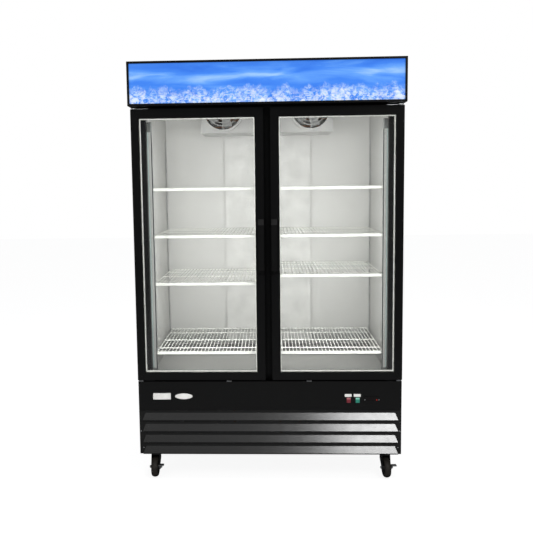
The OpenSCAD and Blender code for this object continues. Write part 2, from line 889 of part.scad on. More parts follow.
module door_frame_left() { color("#1e1f20") left() door_frame(); }
module door_glass_left() { color("#dfeae8", 0.3) left() door_glass(); }
module glass_spacer_left() { color("#e4e6e4") left() glass_spacer(); }
module door_gasket_left() { color("#2d2e30") left() door_gasket(); }
module door_handle_left() { color("#121212") left() door_handle(); }
module door_frame_right() { color("#1e1f20") door_frame(); }
module door_glass_right() { color("#dfeae8", 0.3) door_glass(); }
module glass_spacer_right() { color("#e4e6e4") glass_spacer(); }
module door_gasket_right() { color("#2d2e30") door_gasket(); }
module door_handle_right() { color("#121212") door_handle(); }

// ---------------------------------------------------------------- casters

// Four upright rods at the bolt places of one caster plate.
module caster_holes(spot, z, r, l = 8) {
    for (sx = [-0.5, 0.5], sy = [-0.5, 0.5]) {
        rod_z([spot.x + sx * plate_hole_x, spot.y + sy * plate_hole_y, z], r, l);
    }
}

// Fixed parts of the casters: plates with their upper races and king pins.
module caster_plates() {
    z = caster_top - caster_plate_t;
    color("#26272a") for (spot = caster_spots) {
        difference() {
            union() {
                block([spot.x - 48, spot.y - 34, z], [spot.x + 48, spot.y + 34, caster_top]);
                rod_z([spot.x, spot.y, crown_z + 12], race_r, z - crown_z - 11);
                rod_z([spot.x, spot.y, crown_z - 3], 6, z - crown_z + 4);
                rod_z([spot.x, spot.y, crown_z - 6], 10, 5.8);
            }
            caster_holes(spot, z - 2, bolt_r + 0.5);
        }
    }
}

// Places children at a caster, turned to its resting direction.
module at_caster(i) {
    spot = caster_spots[i];
    translate([spot.x, door_y + spot.y, 0]) rotate([0, 0, spot.z]) children();
}

// Swivelling fork: crown with the lower race, a back web, two legs and the axle bolt.
module caster_fork(i) {
    w = leg_x + leg_t;
    color("#1a1b1c") at_caster(i) difference() {
        union() {
            translate([0, 0, crown_z]) cylinder(11.8, race_r, race_r);
            translate([-w, -27, crown_z]) cube([2 * w, 50, 4]);
            translate([-w, 20, crown_z - 31]) cube([2 * w, 3, 33]);
            for (x = [-w, leg_x]) {
                translate([x, 0, 0]) rotate([90, 0, 90]) linear_extrude(leg_t) polygon([
                    [23, crown_z + 4], [-27, crown_z + 4], [-30, crown_z - 6],
                    [-caster_trail - 12, wheel_r + 4],
                    [-caster_trail - 8, wheel_r - 9], [-caster_trail + 8, wheel_r - 9], [23, crown_z - 31]
                ]);
            }
            translate([-w - 5, -caster_trail, wheel_r]) rotate([0, 90, 0]) {
                cylinder(2 * w + 10, axle_r, axle_r);
                cylinder(5, 8, 8, $fn = 6);
            }
        }
        translate([0, 0, crown_z - 5]) cylinder(30, 6 + run_gap, 6 + run_gap);
    }
}

// Rounded rubber tread on a hub that runs on the axle.
module caster_wheel(i) {
    h = wheel_w / 2;
    color("#2b2825") at_caster(i) translate([0, -caster_trail, wheel_r]) rotate([0, 90, 0])
        rotate_extrude($fn = 72) difference() {
            union() {
                translate([axle_r + run_gap, -h - 1]) square([11, wheel_w + 2]);
                translate([axle_r + 4, -h + 5]) square([28, wheel_w - 10]);
                intersection() {
                    translate([34, -h]) square([wheel_r - 34, wheel_w]);
                    translate([wheel_r - 24, 0]) circle(24);
                }
            }
            translate([-10, -h - 2]) square([10 + axle_r + run_gap, wheel_w + 4]);
        }
}

// Foot lever beside the wheel, turning on the axle.
module caster_brake(i) {
    x = leg_x + leg_t + 0.3;
    color("#8d9094") at_caster(i) translate([x, -caster_trail, wheel_r]) difference() {
        union() {
            rotate([0, 90, 0]) cylinder(4, 13, 13);
            rotate([90, 0, 90]) linear_extrude(4) polygon([
                [10, -2], [-12, -2], [-31, 16], [-11, 20], [8, 9]
            ]);
            translate([0, -31, 16]) cube([25, 20, 4]);
        }
        translate([-1, 0, 0]) rotate([0, 90, 0]) cylinder(8, axle_r + run_gap, axle_r + run_gap);
    }
}

module caster_fork_fl() { caster_fork(0); }
module caster_fork_fr() { caster_fork(1); }
module caster_fork_rl() { caster_fork(2); }
module caster_fork_rr() { caster_fork(3); }
module caster_wheel_fl() { caster_wheel(0); }
module caster_wheel_fr() { caster_wheel(1); }
module caster_wheel_rl() { caster_wheel(2); }
module caster_wheel_rr() { caster_wheel(3); }
module caster_brake_fl() { caster_brake(0); }
module caster_brake_fr() { caster_brake(1); }

// ---------------------------------------------------------------- fans

// A hub with pitched blades about the local Z axis, centred at the origin, with
// the shaft's blind hole in its +Z face.
module fan_wheel(r, blades) {
    difference() {
        union() {
            translate([0, 0, -9]) cylinder(18, 26, 26);
            for (i = [0 : blades - 1]) rotate([0, 0, i * 360 / blades]) {
                translate([(r + 18) / 2, 0, 0]) rotate([24, 0, 0])
                    cube([r - 18, 46, 1.6], center = true);
            }
        }
        translate([0, 0, -8.5]) cylinder(20, shaft_r + run_gap, shaft_r + run_gap);
    }
}

module evaporator_fan(s) {
    color("#303235") translate([s * evap_fan_x, door_y + evap_fan_y, evap_fan_z])
        rotate([-90, 0, 0]) fan_wheel(evap_fan_r, 5);
}

module evaporator_fan_left() { evaporator_fan(-1); }
module evaporator_fan_right() { evaporator_fan(1); }

module condenser_fan() {
    color("#c0c2c4") translate([cond_x, door_y + cond_fan_y, cond_z]) rotate([-90, 0, 0])
        fan_wheel(cond_fan_r, 5);
}

outer_shell();
base_pan();
inner_liner();
foam_insulation();
front_frame();
center_mullion();
header_housing();
header_graphic();
header_light();
hinge_brackets();
led_lights();
shelf_supports();
shelves_left();
shelves_right();
evaporator_cover();
evaporator_coil();
fan_motors();
air_duct_panel();
control_panel();
front_grille();
screws_and_bolts();
rear_grille();
compressor();
condenser_coil();
condenser_shroud();
refrigerant_pipes();
drain_pan();
switch_housings();
temperature_controller();
badge_plates();
caster_plates();
cord_gland();
door_frame_left();
door_glass_left();
glass_spacer_left();
door_gasket_left();
door_handle_left();
door_frame_right();
door_glass_right();
glass_spacer_right();
door_gasket_right();
door_handle_right();
caster_fork_fl();
caster_fork_fr();
caster_fork_rl();
caster_fork_rr();
caster_wheel_fl();
caster_wheel_fr();
caster_wheel_rl();
caster_wheel_rr();
caster_brake_fl();
caster_brake_fr();
power_rocker();
light_rocker();
set_button();
down_button();
up_button();
evaporator_fan_left();
evaporator_fan_right();
condenser_fan();
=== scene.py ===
"""Looks of the two-door glass merchandiser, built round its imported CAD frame.

Metres, +Z up, the doors face -Y. Each piece takes its place from the boxes of the CAD nodes.
"""

import json
import math

import bmesh
import bpy
from mathutils import Matrix, Vector


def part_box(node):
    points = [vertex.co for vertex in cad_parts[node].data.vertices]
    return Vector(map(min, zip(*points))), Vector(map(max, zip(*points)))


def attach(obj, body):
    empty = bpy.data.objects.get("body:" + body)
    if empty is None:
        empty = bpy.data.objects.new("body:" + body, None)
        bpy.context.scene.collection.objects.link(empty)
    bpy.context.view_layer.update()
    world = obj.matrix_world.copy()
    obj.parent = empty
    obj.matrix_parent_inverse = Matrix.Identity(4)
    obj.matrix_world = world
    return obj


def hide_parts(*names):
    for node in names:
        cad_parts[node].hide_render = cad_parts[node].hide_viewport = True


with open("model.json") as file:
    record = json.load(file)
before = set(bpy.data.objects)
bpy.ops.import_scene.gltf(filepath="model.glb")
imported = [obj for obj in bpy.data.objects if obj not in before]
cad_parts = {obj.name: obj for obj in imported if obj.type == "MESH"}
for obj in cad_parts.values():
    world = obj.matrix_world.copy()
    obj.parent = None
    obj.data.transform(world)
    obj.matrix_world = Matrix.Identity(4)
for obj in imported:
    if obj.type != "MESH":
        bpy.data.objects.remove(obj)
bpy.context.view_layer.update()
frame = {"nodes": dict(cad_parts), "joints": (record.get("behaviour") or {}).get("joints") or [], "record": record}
NODES = frame["nodes"]
JOINTS = {joint["name"]: joint for joint in frame["joints"]}
SIDES = ("left", "right")
CORNERS = ("fl", "fr", "rl", "rr")
MM = 0.001


# ------------------------------------------------------------------ materials


def calculate(tree, operation, a, b=0.0, clamp=False):
    """A maths node of tree, on two numbers or sockets."""
    node = tree.nodes.new("ShaderNodeMath")
    node.operation = operation
    node.use_clamp = clamp
    for value, socket in zip((a, b), node.inputs):
        if isinstance(value, (int, float)):
            socket.default_value = value
        else:
            tree.links.new(value, socket)
    return node.outputs[0]


def scaled(colour, share):
    return tuple(c * share for c in colour)


class Paint:
    """A Principled material, with colour, roughness and bump worked from object coordinates."""

    def __init__(self, name, colour, roughness=0.5, metallic=0.0, **sockets):
        self.material = bpy.data.materials.new(name)
        self.material.use_nodes = True
        self.tree = self.material.node_tree
        self.tree.nodes.clear()
        self.output = self.add("ShaderNodeOutputMaterial")
        self.shader = self.add("ShaderNodeBsdfPrincipled")
        self.link(self.shader.outputs[0], self.output.inputs["Surface"])
        self.shader.inputs["Base Color"].default_value = (*colour, 1)
        self.shader.inputs["Roughness"].default_value = roughness
        self.shader.inputs["Metallic"].default_value = metallic
        for socket, value in sockets.items():
            self.shader.inputs[socket.replace("_", " ")].default_value = value
        self.colour = colour
        self.roughness = roughness
        self.place = self.add("ShaderNodeTexCoord").outputs["Object"]

    def add(self, kind, **values):
        node = self.tree.nodes.new(kind)
        for key, value in values.items():
            setattr(node, key, value)
        return node

    def link(self, a, b):
        self.tree.links.new(a, b)

    def noise(self, scale, detail=3.0, rough=0.55, stretch=(1, 1, 1), distortion=0.0):
        """Noise with scale features to the metre, stretched by the three factors."""
        mapping = self.add("ShaderNodeMapping")
        mapping.inputs["Scale"].default_value = stretch
        self.link(self.place, mapping.inputs["Vector"])
        node = self.add("ShaderNodeTexNoise")
        node.inputs["Scale"].default_value = scale
        node.inputs["Detail"].default_value = detail
        node.inputs["Roughness"].default_value = rough
        node.inputs["Distortion"].default_value = distortion
        self.link(mapping.outputs[0], node.inputs["Vector"])
        return node.outputs["Fac"]

    def ramp(self, fac, stops):
        """A colour ramp over fac. Each stop is (position, colour or grey)."""
        node = self.add("ShaderNodeValToRGB")
        ramp = node.color_ramp.elements
        while len(ramp) < len(stops):
            ramp.new(0.5)
        for element, (position, value) in zip(ramp, stops):
            element.position = position
            grey = isinstance(value, (int, float))
            element.color = (value, value, value, 1) if grey else (*value, 1)
        self.link(fac, node.inputs["Fac"])
        return node.outputs["Color"]

    def math(self, operation, a, b=0.0, clamp=False):
        return calculate(self.tree, operation, a, b, clamp)

    def axes(self):
        """The object coordinates as three outputs, x, y and z."""
        parts = self.add("ShaderNodeSeparateXYZ")
        self.link(self.place, parts.inputs[0])
        return parts.outputs

    def rise(self, value, start, end):
        """0 where value is start, and 1 where it is end."""
        return self.math("DIVIDE", self.math("SUBTRACT", value, start), end - start)

    def mix(self, fac, a, b):
        node = self.add("ShaderNodeMix", data_type="RGBA")
        for value, socket in ((fac, node.inputs[0]), (a, node.inputs[6]), (b, node.inputs[7])):
            if isinstance(value, (int, float)):
                socket.default_value = value
            elif isinstance(value, tuple):
                socket.default_value = (*value, 1)
            else:
                self.link(value, socket)
        return node.outputs[2]

    def tint(self, fac, amount):
        """Lightens and darkens the base colour by amount, as fac goes from 0 to 1."""
        low = scaled(self.colour, 1 - amount)
        high = tuple(min(1, c * (1 + amount)) for c in self.colour)
        self.link(self.ramp(fac, [(0.3, low), (0.7, high)]), self.shader.inputs["Base Color"])
        return self

    def shine(self, fac, amount):
        """Varies the roughness by amount either way."""
        low = max(0.02, self.roughness - amount)
        high = min(1, self.roughness + amount)
        self.link(self.ramp(fac, [(0.3, low), (0.7, high)]), self.shader.inputs["Roughness"])
        return self

    def bump(self, fac, height, strength=1.0):
        """Bumps the surface by height metres."""
        node = self.add("ShaderNodeBump")
        node.inputs["Distance"].default_value = height
        node.inputs["Strength"].default_value = strength
        self.link(fac, node.inputs["Height"])
        self.link(node.outputs[0], self.shader.inputs["Normal"])
        return self


def powder_coat(name, colour, roughness, grain=900, height=0.00004, cloud=0.05):
    """Coated sheet: fine orange peel and faint cloudiness."""
    paint = Paint(name, colour, roughness, Specular_IOR_Level=0.5)
    paint.tint(paint.noise(9, 4), 0.12)
    paint.shine(paint.noise(26, 5), cloud)
    return paint.bump(paint.noise(grain, 2), height, 0.5)


def cabin_sheet(name, colour, low, high, shelf):
    """White coat inside the cabin, between two corners.

    It carries painted shade: greyer on the side walls and on the foot of the walls below the lowest
    shelf, which is at the height shelf, and a painted shadow of the shelves towards the back of the floor.
    """
    paint = powder_coat(name, colour, 0.42, 400, 0.00002)
    x, y, z = paint.axes()
    skin = 2 * MM
    coat = paint.ramp(paint.noise(9, 4), [(0.3, scaled(colour, 0.95)), (0.7, colour)])
    floor = paint.math("LESS_THAN", z, low.z + skin)
    # painted shade: the side walls are greyer
    side = paint.math("GREATER_THAN", paint.math("ABSOLUTE", x), high.x - skin)
    shaded_walls = paint.mix(side, coat, scaled(colour, 0.78))
    # painted shade: the foot of the walls below the lowest shelf is darker
    foot = paint.ramp(paint.rise(z, low.z, shelf), [(0.5, 0.55), (1.0, 0.0)])
    shaded_walls = paint.mix(foot, shaded_walls, scaled(colour, 0.3))
    # painted shadow of the shelves: the floor darkens towards its back
    shaded = paint.ramp(paint.rise(y, low.y, high.y), [
        (0.54, scaled(colour, 0.68)), (0.66, scaled(colour, 0.12))])
    paint.link(paint.mix(floor, shaded_walls, shaded), paint.shader.inputs["Base Color"])
    return paint


def moulded(name, colour, roughness):
    """Moulded plastic: a fine, even grain."""
    paint = Paint(name, colour, roughness, Specular_IOR_Level=0.45)
    paint.tint(paint.noise(30, 3), 0.1)
    paint.shine(paint.noise(60, 3), 0.06)
    return paint.bump(paint.noise(1600, 2), 0.00003, 0.5)


def metal(name, colour, roughness, stretch=(1, 1, 1)):
    """Bare or plated metal, with marks drawn out along the axes whose stretch is small."""
    paint = Paint(name, colour, roughness, 1.0)
    streaks = paint.noise(220, 4, 0.6, stretch)
    paint.tint(paint.noise(60, 4), 0.12)
    paint.shine(streaks, 0.09)
    return paint.bump(streaks, 0.00003, 0.4)


def rubber(name, colour, roughness):
    """Dull rubber or foam, uneven in colour and grain."""
    paint = Paint(name, colour, roughness, Specular_IOR_Level=0.35)
    paint.tint(paint.noise(45, 4), 0.2)
    paint.shine(paint.noise(140, 3), 0.08)
    return paint.bump(paint.noise(1200, 3), 0.00005, 0.6)


def glowing(name, colour, light, strength):
    """A lit plastic cover, a little uneven as the lamps behind it show through. Used too for a painted glow on the
    lamp bars' outer edges, where no lamp is.
    """
    paint = Paint(name, colour, 0.35, Emission_Strength=strength)
    glow = paint.ramp(paint.noise(14, 2), [(0.3, scaled(light, 0.93)), (0.7, light)])
    paint.link(glow, paint.shader.inputs["Emission Color"])
    paint.tint(paint.noise(80, 2), 0.04)
    return paint.bump(paint.noise(700, 2), 0.00003, 0.4)


def rocker_plastic(name, body, top, low, high):
    """Translucent plastic whose colour glows a little, paler towards its top as a painted highlight."""
    paint = moulded(name, body, 0.25)
    up = paint.rise(paint.axes()[2], low.z, high.z)
    up = paint.math("ADD", up, paint.math("MULTIPLY", paint.noise(300, 2), 0.08))
    # paler towards the top: a painted highlight, which also glows
    shade = paint.ramp(up, [(0.30, body), (0.62, scaled(body, 1.15)), (0.80, top)])
    paint.link(shade, paint.shader.inputs["Base Color"])
    paint.link(shade, paint.shader.inputs["Emission Color"])
    paint.shader.inputs["Emission Strength"].default_value = 0.55
    return paint


def clear_glass(name, tint):
    """Thin clear glass. Rays from lamps pass, so that the inside stays lit."""
    paint = Paint(name, tint, 0.01, Transmission_Weight=1.0, IOR=1.45)
    paint.shine(paint.noise(5, 4), 0.004)
    through = paint.add("ShaderNodeBsdfTransparent")
    through.inputs[0].default_value = (0.96, 0.965, 0.96, 1)
    mix = paint.add("ShaderNodeMixShader")
    paint.link(paint.add("ShaderNodeLightPath").outputs["Is Shadow Ray"], mix.inputs[0])
    paint.link(paint.shader.outputs[0], mix.inputs[1])
    paint.link(through.outputs[0], mix.inputs[2])
    paint.link(mix.outputs[0], paint.output.inputs["Surface"])
    return paint


def sign_print(name, low, high):
    """A backlit print between two corners: a streaked blue sky over a heap of crushed ice."""
    paint = Paint(name, (0.1, 0.3, 0.8), 0.22)
    up = paint.rise(paint.axes()[2], low.z, high.z)
    # the sky
    streaks = paint.noise(3.4, 5, 0.5, (1, 1, 6), 0.4)
    middle = paint.math("SUBTRACT", 1.0, paint.math("ABSOLUTE", paint.math("MULTIPLY", paint.math(
        "SUBTRACT", up, 0.64), 4.5)), True)
    streaks = paint.math("ADD", paint.math("MULTIPLY", streaks, 0.75), 0.09)
    sky = paint.ramp(paint.math("ADD", streaks, paint.math("MULTIPLY", middle, 0.2)), [
        (0.34, (0.035, 0.17, 0.76)), (0.5, (0.06, 0.24, 0.86)),
        (0.63, (0.13, 0.36, 0.92)), (0.8, (0.40, 0.63, 1.0))])
    # the ice
    warp = paint.add("ShaderNodeTexNoise")
    warp.inputs["Scale"].default_value = 22
    warp.inputs["Detail"].default_value = 2
    paint.link(paint.place, warp.inputs["Vector"])
    bent = paint.add("ShaderNodeMix", data_type="VECTOR")
    bent.inputs[0].default_value = 0.035
    paint.link(paint.place, bent.inputs[4])
    paint.link(warp.outputs["Color"], bent.inputs[5])
    colours = []
    for scale, stops in (
            (30, [(0.10, (0.02, 0.15, 0.74)), (0.40, (0.09, 0.31, 0.90)),
                  (0.64, (0.30, 0.55, 0.98)), (0.9, (0.82, 0.90, 1.0))]),
            (75, [(0.15, (0.03, 0.18, 0.78)), (0.5, (0.18, 0.44, 0.96)),
                  (0.85, (0.90, 0.95, 1.0))])):
        cell = paint.add("ShaderNodeTexVoronoi", feature="F1", distance="EUCLIDEAN")
        cell.inputs["Scale"].default_value = scale
        cell.inputs["Randomness"].default_value = 1.0
        paint.link(bent.outputs[1], cell.inputs["Vector"])
        grey = paint.add("ShaderNodeRGBToBW")
        paint.link(cell.outputs["Color"], grey.inputs[0])
        shade = paint.math("ADD", grey.outputs[0],
                           paint.math("MULTIPLY", cell.outputs["Distance"], 0.35))
        colours.append(paint.ramp(paint.math("SUBTRACT", shade, 0.1), stops))
    ice = paint.mix(0.45, colours[0], colours[1])
    for scale, dark in ((24, 0.6), (58, 0.35)):
        crack = paint.add("ShaderNodeTexVoronoi", feature="DISTANCE_TO_EDGE")
        crack.inputs["Scale"].default_value = scale
        paint.link(bent.outputs[1], crack.inputs["Vector"])
        edge = paint.ramp(crack.outputs["Distance"], [(0.0, dark), (0.11, 0.0)])
        ice = paint.mix(edge, ice, (0.03, 0.20, 0.84))
    low_down = paint.math("SUBTRACT", 1.0, paint.math("MULTIPLY", up, 2.4), True)
    glint = paint.math("MULTIPLY", paint.ramp(paint.noise(48, 5, 0.7, (1, 1, 1.8), 1.5), [
        (0.50, 0.0), (0.62, 0.9)]), paint.math("ADD", paint.math("MULTIPLY", low_down, 0.8), 0.2))
    ice = paint.mix(glint, ice, (0.96, 0.98, 1.0))
    # where the heap ends
    crest = paint.math("MULTIPLY", paint.noise(16, 4, 0.6, (1, 1, 0.35)), 0.55)
    heap = paint.math("SUBTRACT", paint.math("ADD", crest, 0.15), up)
    colour = paint.mix(paint.ramp(heap, [(0.0, 0.0), (0.06, 0.45), (0.24, 1.0)]), sky, ice)
    paint.link(colour, paint.shader.inputs["Base Color"])
    paint.link(colour, paint.shader.inputs["Emission Color"])
    paint.shader.inputs["Emission Strength"].default_value = 0.85
    return paint


CABIN_COAT = (0.66, 0.66, 0.64)
SHELF_WHITE = (0.86, 0.86, 0.82)
BLACK_STEEL = powder_coat("satin_black_steel", (0.011, 0.011, 0.012), 0.38)
PANEL_STEEL = powder_coat("gloss_black_steel", (0.006, 0.006, 0.006), 0.22, 500, 0.00001, 0.02)
DOOR_PAINT = powder_coat("door_rail_black", (0.006, 0.006, 0.0065), 0.34, 1200)
FRAME_BLACK = moulded("breaker_frame_black", (0.013, 0.013, 0.014), 0.45)
HEADER_BLACK = powder_coat("header_black", (0.007, 0.007, 0.007), 0.42)
LINER_WHITE = powder_coat("liner_white", CABIN_COAT, 0.42, 400, 0.00002)
# evaporator housing: the liner's white darkened as painted shade, to offset the inside lamps' stronger light on it
SHADED_HOUSING_WHITE = powder_coat("housing_white_painted_shade", (0.36, 0.36, 0.35), 0.42, 400, 0.00002)
CABIN_WHITE = cabin_sheet("cabin_white_painted_shade", CABIN_COAT, *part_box("inner_liner"),
                          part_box("shelves_left")[0].z)
ZINC = metal("zinc_plate", (0.58, 0.59, 0.60), 0.36)
SATIN_STEEL = metal("satin_steel", (0.66, 0.67, 0.68), 0.3, (1, 1, 0.05))
ALUMINIUM = metal("mill_aluminium", (0.72, 0.73, 0.74), 0.34, (0.06, 1, 1))
COPPER = metal("drawn_copper", (0.72, 0.36, 0.20), 0.32)
SHELF_COAT = powder_coat("shelf_plastic_coat", SHELF_WHITE, 0.36)
FOAM = rubber("insulating_foam", (0.72, 0.62, 0.36), 0.9)
GASKET = rubber("gasket_rubber", (0.020, 0.020, 0.021), 0.6)
TYRE = rubber("caster_tread", (0.030, 0.026, 0.022), 0.62)
MOULDED_BLACK = moulded("moulded_black", (0.012, 0.012, 0.012), 0.38)
GLOSS_BLACK = moulded("gloss_black_plastic", (0.010, 0.010, 0.010), 0.16)
MOTOR_PAINT = powder_coat("motor_enamel", (0.22, 0.225, 0.23), 0.4)
COMPRESSOR_PAINT = powder_coat("compressor_enamel", (0.010, 0.010, 0.011), 0.18, 160, 0.00008)
CASTER_BLACK = powder_coat("caster_black", (0.018, 0.018, 0.019), 0.4)
LAMP = glowing("lamp_cover", (0.9, 0.92, 0.92), (0.93, 1.0, 0.96), 2.2)
GLASS = clear_glass("clear_door_glass", (0.985, 0.99, 0.985))
SPACER = moulded("spacer_bright", (0.86, 0.86, 0.83), 0.35)
FAN_GREY = moulded("fan_grey", (0.30, 0.305, 0.30), 0.45)
PLATE = moulded("blank_label", (0.93, 0.92, 0.88), 0.3)
# the paler top colours of the rockers are a painted highlight
RED = rocker_plastic("red_rocker", (0.20, 0.035, 0.045), (0.50, 0.16, 0.18),
                     *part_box("power_rocker"))
GREEN = rocker_plastic("green_rocker", (0.04, 0.26, 0.19), (0.30, 0.70, 0.56),
                       *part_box("light_rocker"))
SIGN = sign_print("backlit_print", *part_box("header_graphic"))

FINISHES = {
    "outer_shell": BLACK_STEEL, "base_pan": ZINC, "inner_liner": CABIN_WHITE,
    "foam_insulation": FOAM, "front_frame": FRAME_BLACK, "center_mullion": FRAME_BLACK,
    "header_housing": HEADER_BLACK, "header_graphic": SIGN, "header_light": LAMP,
    "hinge_brackets": ZINC, "led_lights": LAMP, "shelf_supports": SATIN_STEEL,
    "shelves_left": SHELF_COAT, "shelves_right": SHELF_COAT, "evaporator_cover": SHADED_HOUSING_WHITE,
    "evaporator_coil": ALUMINIUM, "fan_motors": MOTOR_PAINT, "air_duct_panel": LINER_WHITE,
    "control_panel": PANEL_STEEL, "front_grille": PANEL_STEEL, "screws_and_bolts": ZINC,
    "rear_grille": BLACK_STEEL, "compressor": COMPRESSOR_PAINT, "condenser_coil": ALUMINIUM,
    "condenser_shroud": BLACK_STEEL, "refrigerant_pipes": COPPER, "drain_pan": ZINC,
    "switch_housings": MOULDED_BLACK, "temperature_controller": GLOSS_BLACK,
    "badge_plates": PLATE, "caster_plates": CASTER_BLACK, "cord_gland": MOULDED_BLACK,
    "power_rocker": RED, "light_rocker": GREEN, "set_button": MOULDED_BLACK,
    "down_button": MOULDED_BLACK, "up_button": MOULDED_BLACK,
    "condenser_fan": ALUMINIUM,
}
for side in SIDES:
    FINISHES[f"door_frame_{side}"] = DOOR_PAINT
    FINISHES[f"door_glass_{side}"] = GLASS
    FINISHES[f"glass_spacer_{side}"] = SPACER
    FINISHES[f"evaporator_fan_{side}"] = FAN_GREY
    FINISHES[f"door_gasket_{side}"] = GASKET
    FINISHES[f"door_handle_{side}"] = MOULDED_BLACK
for corner in CORNERS:
    FINISHES[f"caster_fork_{corner}"] = CASTER_BLACK
    FINISHES[f"caster_wheel_{corner}"] = TYRE
for corner in ("fl", "fr"):
    FINISHES[f"caster_brake_{corner}"] = ZINC

# Edge rounding of the CAD pieces that show, in metres.
EDGES = {
    "outer_shell": 0.0004, "front_frame": 0.001, "center_mullion": 0.0012, "header_housing": 0.0005,
    "control_panel": 0.0006, "front_grille": 0.0006, "hinge_brackets": 0.0004,
    "switch_housings": 0.0006, "temperature_controller": 0.0008, "badge_plates": 0.0003,
    "caster_plates": 0.0006, "drain_pan": 0.0004, "compressor": 0.0015, "cord_gland": 0.0006,
    "power_rocker": 0.0007, "light_rocker": 0.0007, "led_lights": 0.002,
}
for side in SIDES:
    EDGES[f"door_frame_{side}"] = 0.0012
    EDGES[f"door_handle_{side}"] = 0.002
for corner in CORNERS:
    EDGES[f"caster_fork_{corner}"] = 0.0008


def round_edges(piece, width):
    bevel = piece.modifiers.new("edges", "BEVEL")
    bevel.width = width
    bevel.segments = 2
    bevel.limit_method = "ANGLE"
    bevel.angle_limit = math.radians(40)


for name, node in NODES.items():
    node.data.materials.clear()
    node.data.materials.append(FINISHES[name].material)
    if name in EDGES:
        round_edges(node, EDGES[name])


# ------------------------------------------------------------------ mesh pieces

PIECES = {}
SLOTS = {part["node"]: part["material_slot"] for part in frame["record"]["subparts"]}
UP = Vector((0, 0, 1))


def from_mm(*points):
    return [(u * MM, v * MM) for u, v in points]


def rectangle(u0, v0, u1, v1):
    return [(u0, v0), (u1, v0), (u1, v1), (u0, v1)]


def circle(centre, across, other, radius, sides):
    """Points round centre, in the plane of two unit vectors."""
    angles = [math.tau * i / sides for i in range(sides)]
    return [centre + (across * math.cos(a) + other * math.sin(a)) * radius for a in angles]


class Shape:
    """A mesh in the making: closed solids in metres, each painted with the current paint."""

    def __init__(self, *paints):
        self.mesh = bmesh.new()
        self.paints = paints
        self.paint = 0

    def use(self, paint):
        """Makes one of the paints the current one."""
        self.paint = self.paints.index(paint)

    def face(self, *corners):
        face = self.mesh.faces.new(corners)
        face.material_index = self.paint
        face.smooth = True

    def loft(self, rings, loop=False):
        """A skin through rings of points, closed at its ends, or joined round if loop is set."""
        rows = [[self.mesh.verts.new(point) for point in ring] for ring in rings]
        count = len(rows[0])
        pairs = list(zip(rows, rows[1:]))
        if loop:
            pairs.append((rows[-1], rows[0]))
        for low, high in pairs:
            for i in range(count):
                j = (i + 1) % count
                self.face(low[i], low[j], high[j], high[i])
        if not loop:
            self.face(*reversed(rows[0]))
            self.face(*rows[-1])

    def box(self, low, high, turn=None):
        """A box from corner to corner, moved by the matrix turn."""
        turn = turn or Matrix()
        outline = rectangle(low[0], low[1], high[0], high[1])
        self.prism(outline, lambda u, v, w: turn @ Vector((u, v, w)), low[2], high[2])

    def prism(self, outline, place, start, end):
        """An outline of (u, v) points, carried from start to end by place(u, v, w)."""
        self.loft([[place(u, v, w) for u, v in outline] for w in (start, end)])

    def lathe(self, profile, centre, axis, sides=32, loop=False):
        """Turns a profile of (radius, distance along the axis) about a line through centre."""
        axis = Vector(axis).normalized()
        across = axis.orthogonal().normalized()
        other = axis.cross(across)
        self.loft([circle(Vector(centre) + axis * along, across, other, radius, sides)
                   for radius, along in profile], loop)

    def tube(self, points, radius, sides=8, bend=0.0, steps=6):
        """A round tube along points, with its corners bent to a radius."""
        path = rounded_path([Vector(point) for point in points], bend, steps)
        ahead = (path[1] - path[0]).normalized()
        across = ahead.orthogonal().normalized()
        rings = []
        for i, point in enumerate(path):
            before = (point - path[i - 1]).normalized() if i else ahead
            after = (path[i + 1] - point).normalized() if i < len(path) - 1 else before
            along = (before + after).normalized()
            across = (across - along * across.dot(along)).normalized()
            rings.append(circle(point, across, along.cross(across), radius, sides))
        self.loft(rings)

    def surround(self, low, high, profile, start):
        """Carries a profile of (inward, backward) points round an upright rectangle, mitred."""
        rings = []
        for right, top in ((0, 0), (1, 0), (1, 1), (0, 1)):
            rings.append([Vector((
                high.x - u if right else low.x + u, start + v, high.z - u if top else low.z + u))
                for u, v in profile])
        self.loft(rings, True)

    def piece(self, name, body, slot, replaces=(), bevel=0.0):
        """Finishes the mesh as a piece that rides on a body."""
        bmesh.ops.recalc_face_normals(self.mesh, faces=self.mesh.faces)
        data = bpy.data.meshes.new(name)
        self.mesh.to_mesh(data)
        self.mesh.free()
        data.set_sharp_from_angle(angle=math.radians(35))
        for paint in self.paints:
            data.materials.append(paint.material)
        piece = bpy.data.objects.new(name, data)
        bpy.context.scene.collection.objects.link(piece)
        if bevel:
            round_edges(piece, bevel)
        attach(piece, body)
        if replaces:
            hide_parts(*replaces)
        PIECES[name] = piece


def rounded_path(points, bend, steps):
    """The points, with each inner corner turned into an arc."""
    if not bend:
        return points
    path = [points[0]]
    for before, corner, after in zip(points, points[1:], points[2:]):
        back = (before - corner).normalized()
        ahead = (after - corner).normalized()
        half = back.angle(ahead) / 2
        room = min((before - corner).length, (after - corner).length) * 0.49
        reach = min(bend / math.tan(half), room)
        radius = reach * math.tan(half)
        centre = corner + (back + ahead).normalized() * (radius / math.sin(half))
        start = corner + back * reach - centre
        end = corner + ahead * reach - centre
        for i in range(steps + 1):
            path.append(centre + start.slerp(end, i / steps).normalized() * radius)
    path.append(points[-1])
    return path


